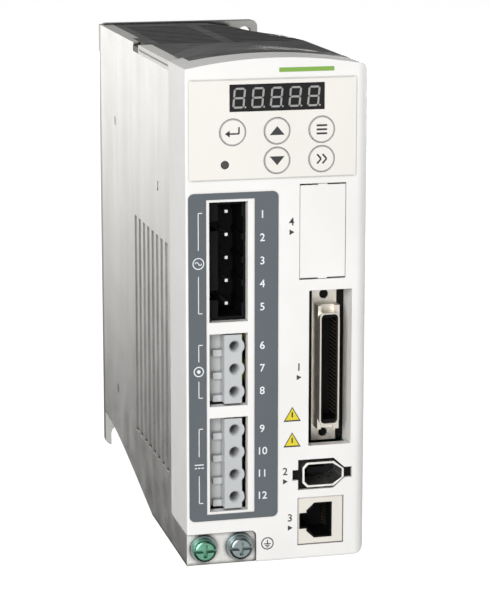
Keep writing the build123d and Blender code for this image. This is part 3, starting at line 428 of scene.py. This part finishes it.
def seven_segment(x, z):
    """The seven segments and the point of one unlit digit, leaning to the right."""
    gap = SEGMENT_WIDTH * 0.18
    half_w = DIGIT_WIDTH / 2 - SEGMENT_WIDTH / 2
    half_h = DIGIT_HEIGHT / 2 - SEGMENT_WIDTH / 2
    s = SEGMENT_WIDTH / 2

    def across(cz):
        return [(-half_w + gap + s, cz - s), (half_w - gap - s, cz - s), (half_w - gap, cz),
                (half_w - gap - s, cz + s), (-half_w + gap + s, cz + s), (-half_w + gap, cz)]

    def upright(cx, z0, z1):
        return [(cx - s, z0 + gap + s), (cx, z0 + gap), (cx + s, z0 + gap + s),
                (cx + s, z1 - gap - s), (cx, z1 - gap), (cx - s, z1 - gap - s)]

    shapes = [across(cz) for cz in (-half_h, 0.0, half_h)]
    for cx in (-half_w, half_w):
        shapes.append(upright(cx, -half_h, 0.0))
        shapes.append(upright(cx, 0.0, half_h))
    shapes = [[(x + px + pz * DIGIT_LEAN, z + pz) for px, pz in shape] for shape in shapes]
    dot_x = x + DIGIT_WIDTH / 2 + SEGMENT_WIDTH * 0.55 - DIGIT_HEIGHT / 2 * DIGIT_LEAN
    dot_z = z - half_h
    shapes.append([(dot_x + s * math.cos(a), dot_z + s * math.sin(a))
                   for a in (math.tau * i / 12 for i in range(12))])
    return shapes


def display_digits():
    low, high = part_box("display_lens")
    middle_z = (low.z + high.z) / 2
    first = (low.x + high.x) / 2 - DIGIT_PITCH * (DIGITS - 1) / 2 - 0.25 * MM
    shapes = []
    for i in range(DIGITS):
        shapes += seven_segment(first + i * DIGIT_PITCH, middle_z)
    printed("display_digits", shapes, low.y, SEGMENT)


def key_centre(name):
    low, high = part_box(name)
    return (low.x + high.x) / 2, (low.z + high.z) / 2, low.y


def key_marks():
    """A printed ring and a plain symbol on each key."""
    for name in KEYS:
        x, z, y = key_centre(name)
        shapes = ring_outlines(x, z, 4.15 * MM, 3.83 * MM)
        printed(f"{name}_ring", shapes, y, RING_INK, name)
    arrow = 2.4 * MM
    for name, way in (("key_up", 1), ("key_down", -1)):
        x, z, y = key_centre(name)
        foot_z = z - way * 1.3 * MM
        triangle = [(x, z + way * 1.5 * MM), (x - way * arrow, foot_z), (x + way * arrow, foot_z)]
        printed(f"{name}_mark", [triangle], y, DARK_INK, name)
    x, z, y = key_centre("key_enter")
    line = 0.5 * MM
    hook = [(x + 2.0 * MM, z + 1.6 * MM), (x + 2.0 * MM, z - 0.5 * MM), (x - 1.4 * MM, z - 0.5 * MM)]
    head = [(x - 2.5 * MM, z - 0.5 * MM), (x - 1.0 * MM, z - 1.6 * MM), (x - 1.0 * MM, z + 0.6 * MM)]
    printed("key_enter_mark", stroke(hook, line) + [head], y, DARK_INK, "key_enter")
    x, z, y = key_centre("key_mode")
    wide = 1.7 * MM
    half = 0.3 * MM
    bars = [bar(x - wide, x + wide, z + d * MM - half, z + d * MM + half) for d in (-1.3, 0, 1.3)]
    printed("key_mode_mark", bars, y, DARK_INK, "key_mode")
    x, z, y = key_centre("key_shift")
    chevrons = []
    for dx in (-1.5 * MM, 0.3 * MM):
        chevron = [(x + dx, z + 1.5 * MM), (x + dx + 1.3 * MM, z), (x + dx, z - 1.5 * MM)]
        chevrons += stroke(chevron, 0.55 * MM)
    printed("key_shift_mark", chevrons, y, DARK_INK, "key_shift")


def film_lines():
    """The thin grey line along the top and bottom edges of the keypad film."""
    low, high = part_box("keypad_film")
    inset = 0.9 * MM
    line = 0.22 * MM
    shapes = [bar(low.x + inset, high.x - inset, z - line / 2, z + line / 2)
              for z in (low.z + line, high.z - line)]
    printed("film_lines", shapes, low.y, FILM_LINE)


# ---------------------------------------------------------------- printed marks

def pole_heights(node):
    """The heights of a connector's contacts, from its pins' node, top first."""
    low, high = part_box(node)
    half = 0.5 * MM
    count = {"mains_pins": 5, "motor_pins": 3, "brake_pins": 4}[node]
    first, last = high.z - half, low.z + half
    return [first + (last - first) * i / (count - 1) for i in range(count)]


def terminal_marks():
    """Numbers beside the poles, and a bracket and a symbol for each group, on the slate film."""
    low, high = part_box("terminal_film")
    y = low.y
    number_x = high.x - 5.2 * MM
    bracket_x = low.x + 3.2 * MM
    entries = []
    lines = []
    number = 1
    for node in ("mains_pins", "motor_pins", "brake_pins"):
        heights = pole_heights(node)
        for z in heights:
            entries.append((str(number), number_x, z, 2.5 * MM))
            number += 1
        top = heights[0] + 1.2 * MM
        foot = heights[-1] - 1.2 * MM
        middle = (top + foot) / 2
        room = 4.2 * MM if node == "mains_pins" else 3.2 * MM
        tick = bracket_x + 1.3 * MM
        lines += stroke([(tick, top), (bracket_x, top)], 0.28 * MM)
        lines += stroke([(bracket_x, top), (bracket_x, middle + room)], 0.28 * MM)
        lines += stroke([(bracket_x, middle - room), (bracket_x, foot)], 0.28 * MM)
        lines += stroke([(bracket_x, foot), (tick, foot)], 0.28 * MM)
    mains = pole_heights("mains_pins")
    middle = (mains[0] + mains[-1]) / 2
    lines += ring_outlines(bracket_x, middle, 1.9 * MM, 1.6 * MM, steps=32)
    wave = []
    for i in range(13):
        t = i / 12
        wave.append((bracket_x + (t - 0.5) * 2.2 * MM, middle + 0.55 * MM * math.sin(t * math.tau)))
    lines += stroke(wave, 0.3 * MM)
    motor = pole_heights("motor_pins")
    middle = (motor[0] + motor[-1]) / 2
    lines += ring_outlines(bracket_x, middle, 1.7 * MM, 1.35 * MM, steps=32)
    lines += ring_outlines(bracket_x, middle, 0.6 * MM, 0.05 * MM, steps=16)
    brake = pole_heights("brake_pins")
    middle = (brake[0] + brake[-1]) / 2
    wide = 1.5 * MM
    lines += stroke([(bracket_x - wide, middle + 0.5 * MM), (bracket_x + wide, middle + 0.5 * MM)], 0.35 * MM)
    for start in (-1.5, -0.4, 0.7):
        lines += stroke([(bracket_x + start * MM, middle - 0.6 * MM),
                         (bracket_x + (start + 0.8) * MM, middle - 0.6 * MM)], 0.35 * MM)
    printed("terminal_brackets", lines, y, WHITE_INK)
    lettering("terminal_numbers", entries, y, WHITE_INK)


def socket_marks():
    """A number and a pointer beside each signal socket, on the cover."""
    entries = []
    pointers = []
    for number, node, drop in ((4, "blank_cover", 2.0), (1, "io_shell", 0.0), (2, "encoder_housing", 0.0),
                               (3, "bus_jack", 0.0)):
        low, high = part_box(node)
        x = min(low.x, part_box("blank_cover")[0].x) - 2.8 * MM
        if node == "io_shell":
            x += 2.6 * MM
        if node == "encoder_housing":
            x += 0.2 * MM
        z = (low.z + high.z) / 2 + drop * MM
        entries.append((str(number), x, z + 1.4 * MM, 2.5 * MM))
        left = x - 0.7 * MM
        pointers.append([(left, z - 1.0 * MM), (x + 0.9 * MM, z - 1.9 * MM), (left, z - 2.8 * MM)])
    lettering("socket_numbers", entries, FRONT_Y, DARK_INK)
    printed("socket_pointers", pointers, FRONT_Y, DARK_INK)


def accent_stripe():
    """A plain stripe near the top edge of the cover."""
    z = cover_high.z - 3.9 * MM
    shape = bar(0.3 * MM, 18.2 * MM, z - 0.7 * MM, z + 0.7 * MM)
    printed("accent_stripe", [shape], FRONT_Y, GREEN_INK)


def caution_marks():
    """Two plain yellow triangles with a dark border."""
    borders = []
    fills = []
    bars = []
    for height in (49.0, 40.4):
        x = 5.0 * MM
        z = BASE_Z + height * MM
        for shapes, size in ((borders, 2.9 * MM), (fills, 2.3 * MM)):
            shapes.append([(x - size, z - size * 0.8), (x + size, z - size * 0.8), (x, z + size * 0.9)])
        bars.append(bar(x - 0.22 * MM, x + 0.22 * MM, z - 0.9 * MM, z + 0.9 * MM))
    printed("caution_borders", borders, FRONT_Y, DARK_INK)
    printed("caution_fields", fills, FRONT_Y - PRINT, YELLOW_INK)
    printed("caution_bars", bars, FRONT_Y - 2 * PRINT, DARK_INK)


def earth_mark():
    """The protective earth sign: a ring with an earth symbol."""
    x = -3.2 * MM
    z = BASE_Z + 5.9 * MM
    line = 0.32 * MM
    shapes = ring_outlines(x, z, 2.1 * MM, 1.75 * MM)
    shapes += stroke([(x, z + 1.2 * MM), (x, z - 0.1 * MM)], line)
    for half, drop in ((1.15, 0.1), (0.75, 0.65), (0.35, 1.2)):
        shapes += stroke([(x - half * MM, z - drop * MM), (x + half * MM, z - drop * MM)], line)
    printed("earth_mark", shapes, FRONT_Y, DARK_INK)


# ---------------------------------------------------------------- studio

def area_light(name, at, aim, size, power):
    data = bpy.data.lights.new(name, "AREA")
    data.shape = "RECTANGLE"
    data.size, data.size_y = size
    data.energy = power
    lamp = bpy.data.objects.new(name, data)
    lamp.location = at
    lamp.visible_camera = False
    lamp.rotation_euler = (Vector(aim) - Vector(at)).to_track_quat("-Z", "Y").to_euler()
    bpy.context.scene.collection.objects.link(lamp)


def make_floor():
    """A white floor that glows a little and throws no light or reflection back on the object."""
    mesh = bpy.data.meshes.new("floor")
    work = bmesh.new()
    bmesh.ops.create_grid(work, x_segments=2, y_segments=2, size=6.0)
    work.to_mesh(mesh)
    work.free()
    mesh.transform(Matrix.Translation((0, 0, cad_low.z - 0.2 * MM)))
    floor = bpy.data.objects.new("floor", mesh)
    bpy.context.scene.collection.objects.link(floor)
    made, tree, shader = new_material("floor_paper")
    shader.inputs["Base Color"].default_value = (0.30, 0.30, 0.30, 1)
    shader.inputs["Roughness"].default_value = 1.0
    shader.inputs["Specular IOR Level"].default_value = 0.0
    shader.inputs["Emission Color"].default_value = (1, 1, 1, 1)
    shader.inputs["Emission Strength"].default_value = 0.93
    mesh.materials.append(made)
    floor.visible_diffuse = False
    floor.visible_glossy = False


def make_world():
    """Bright low walls at the left and back, a dim ceiling, a dark ground and a pale table ahead.

    They only light the object. Behind it, the backdrop is plain white.
    """
    world = bpy.data.worlds.new("studio")
    world.use_nodes = True
    tree = world.node_tree
    backdrop = tree.nodes["Background"]
    backdrop.inputs["Color"].default_value = (1.0, 0.99, 0.975, 1)
    place = tree.nodes.new("ShaderNodeTexCoord")
    split = tree.nodes.new("ShaderNodeSeparateXYZ")
    tree.links.new(place.outputs["Generated"], split.inputs["Vector"])
    height = remap(tree, split.outputs["Z"], -1.0, 1.0, 0.0, 1.0)
    ramp = tree.nodes.new("ShaderNodeValToRGB")
    stops = ramp.color_ramp.elements
    stops[0].position, stops[0].color = 0.37, (0.01, 0.01, 0.01, 1)
    stops[1].position, stops[1].color = 0.455, (1.0, 1.0, 1.0, 1)
    for position, level in ((0.60, 0.82), (0.78, 0.26)):
        stops.new(position).color = (level, level, level, 1)
    tree.links.new(height, ramp.inputs["Fac"])
    side = remap(tree, split.outputs["X"], -0.25, 0.30, 1.30, 0.18)
    depth = remap(tree, split.outputs["Y"], -0.20, 0.45, 0.12, 1.32)
    sides = calculate(tree, "MULTIPLY", ramp.outputs["Color"], side)
    walls = calculate(tree, "MULTIPLY", sides, depth)
    ahead = remap(tree, split.outputs["Y"], -0.95, -0.5, 1.3, 0.0)
    low = remap(tree, split.outputs["Z"], -0.15, 0.12, 1.0, 0.0)
    table = calculate(tree, "MULTIPLY", ahead, low)
    total = calculate(tree, "ADD", walls, table)
    seen = tree.nodes.new("ShaderNodeLightPath")
    level = tree.nodes.new("ShaderNodeMix")
    tree.links.new(seen.outputs["Is Camera Ray"], level.inputs["Factor"])
    tree.links.new(total, level.inputs["A"])
    level.inputs["B"].default_value = 1.0
    tree.links.new(level.outputs["Result"], backdrop.inputs["Strength"])
    bpy.context.scene.world = world


def make_studio():
    make_floor()
    make_world()
    bpy.context.scene.view_settings.view_transform = "Standard"
    middle = (0, -0.07, 0)
    area_light("key_light", (-0.66, -1.22, 0.38), middle, (0.9, 0.9), 20)
    area_light("fill_light", (1.25, 0.25, 0.35), middle, (0.9, 0.9), 15)
    area_light("rear_light", (0.55, 1.25, 0.0), middle, (0.9, 0.12), 10)


make_camera()
paint_cad_nodes()
display_digits()
key_marks()
film_lines()
terminal_marks()
socket_marks()
accent_stripe()
caution_marks()
earth_mark()
make_studio()
